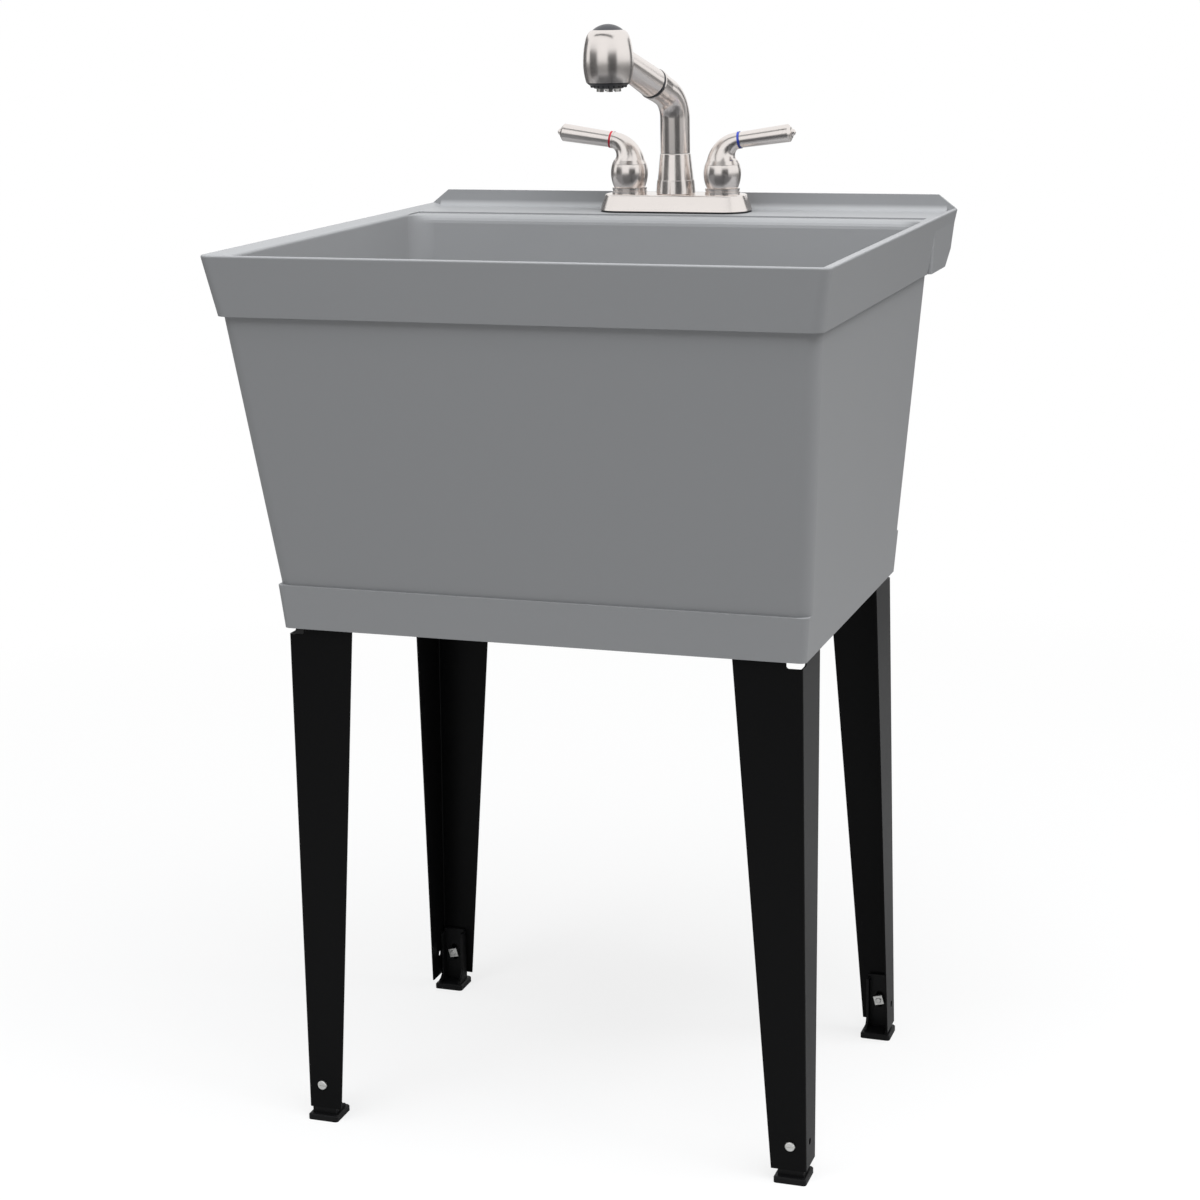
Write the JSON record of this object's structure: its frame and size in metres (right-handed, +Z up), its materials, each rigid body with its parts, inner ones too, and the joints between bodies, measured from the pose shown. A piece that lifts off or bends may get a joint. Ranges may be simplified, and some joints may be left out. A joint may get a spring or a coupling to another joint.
{
  "type": "utility laundry sink",
  "caption": "Free-standing utility laundry sink: moulded tub on splayed angle-steel legs with levelling feet, bolted drain and centerset faucet with swivel spout and pull-out sprayer.",
  "frame": {"origin": "on the floor, under the middle of the tub's overall outline", "axes": "+X to the right as the user faces the front, +Y to the back, +Z up"},
  "size_m": [0.581, 0.55, 1.0513],
  "materials": {
    "tub_plastic": "satin moulded grey",
    "leg_black": "satin black powder coat",
    "foot_black": "matte moulded",
    "zinc_steel": "zinc plated",
    "nickel": "brushed nickel",
    "bright_metal": "polished",
    "black_rubber": "matte",
    "white_plastic": "matte",
    "fibre_red": "matte",
    "brass": "cast",
    "hot_red": "gloss",
    "cold_blue": "gloss",
    "dark_grey": "satin"
  },
  "bodies": {
    "sink": {"tub": "tub_plastic", "leg_front_left": "leg_black", "leg_front_right": "leg_black", "leg_rear_left": "leg_black", "leg_rear_right": "leg_black", "foot_screws": "zinc_steel", "foot_nuts": "zinc_steel", "drain_strainer": "bright_metal", "drain_gasket": "black_rubber", "drain_washer": "fibre_red", "drain_locknut": "white_plastic", "drain_slip_nut": "white_plastic", "drain_tailpiece": "white_plastic", "faucet_gasket": "black_rubber", "faucet_deck_plate": "nickel", "valve_body": "brass", "mounting_nuts": "white_plastic", "spout_base": "nickel", "spout_nut": "brass", "spout_o_rings": "black_rubber", "spout_glide_ring": "white_plastic", "hot_cartridge": "brass", "hot_trim_ring": "nickel", "cold_cartridge": "brass", "cold_trim_ring": "nickel"},
    "hot_handle": {"hot_handle": "nickel", "hot_stem": "brass", "hot_set_screw": "zinc_steel", "hot_index_ring": "hot_red", "hot_lever": "nickel"},
    "cold_handle": {"cold_handle": "nickel", "cold_stem": "brass", "cold_set_screw": "zinc_steel", "cold_index_ring": "cold_blue", "cold_lever": "nickel"},
    "spout": {"spout_body": "nickel"},
    "wand": {"docking_ring": "dark_grey", "wand_handle": "nickel", "wand_head": "nickel", "spray_face": "dark_grey", "aerator": "bright_metal"},
    "spray_button": {"spray_button": "dark_grey"},
    "stopper": {"drain_stopper": "black_rubber"},
    "foot_front_left": {"foot_front_left": "foot_black"},
    "foot_front_right": {"foot_front_right": "foot_black"},
    "foot_rear_left": {"foot_rear_left": "foot_black"},
    "foot_rear_right": {"foot_rear_right": "foot_black"}
  },
  "joints": [
    {"name": "foot_front_left_level", "type": "slide", "parent": "sink", "child": "foot_front_left", "axis": [0, 0, -1], "range_m": [-0.006, 0.006]},
    {"name": "foot_front_right_level", "type": "slide", "parent": "sink", "child": "foot_front_right", "axis": [0, 0, -1], "range_m": [-0.006, 0.006]},
    {"name": "foot_rear_left_level", "type": "slide", "parent": "sink", "child": "foot_rear_left", "axis": [0, 0, -1], "range_m": [-0.006, 0.006]},
    {"name": "foot_rear_right_level", "type": "slide", "parent": "sink", "child": "foot_rear_right", "axis": [0, 0, -1], "range_m": [-0.006, 0.006]},
    {"name": "hot_handle_turn", "type": "hinge", "parent": "sink", "child": "hot_handle", "pos_m": [-0.0508, 0.236, 0.9], "axis": [0, 0, 1], "range_deg": [0, 90]},
    {"name": "cold_handle_turn", "type": "hinge", "parent": "sink", "child": "cold_handle", "pos_m": [0.0508, 0.236, 0.9], "axis": [0, 0, -1], "range_deg": [0, 90]},
    {"name": "spout_swivel", "type": "hinge", "parent": "sink", "child": "spout", "pos_m": [0, 0.236, 0.93], "axis": [0, 0, 1], "range_deg": [-40, 80]},
    {"name": "wand_pull", "type": "slide", "parent": "spout", "child": "wand", "axis": [-0.2951, -0.8569, 0.4226], "range_m": [0, 0.12]},
    {"name": "spray_button_press", "type": "slide", "parent": "wand", "child": "spray_button", "axis": [0, 0, -1], "range_m": [0, 0.0025], "stiffness_N_per_m": 600, "springref_m": -0.003},
    {"name": "stopper_lift", "type": "slide", "parent": "sink", "child": "stopper", "axis": [0, 0, 1], "range_m": [0, 0.08]}
  ]
}
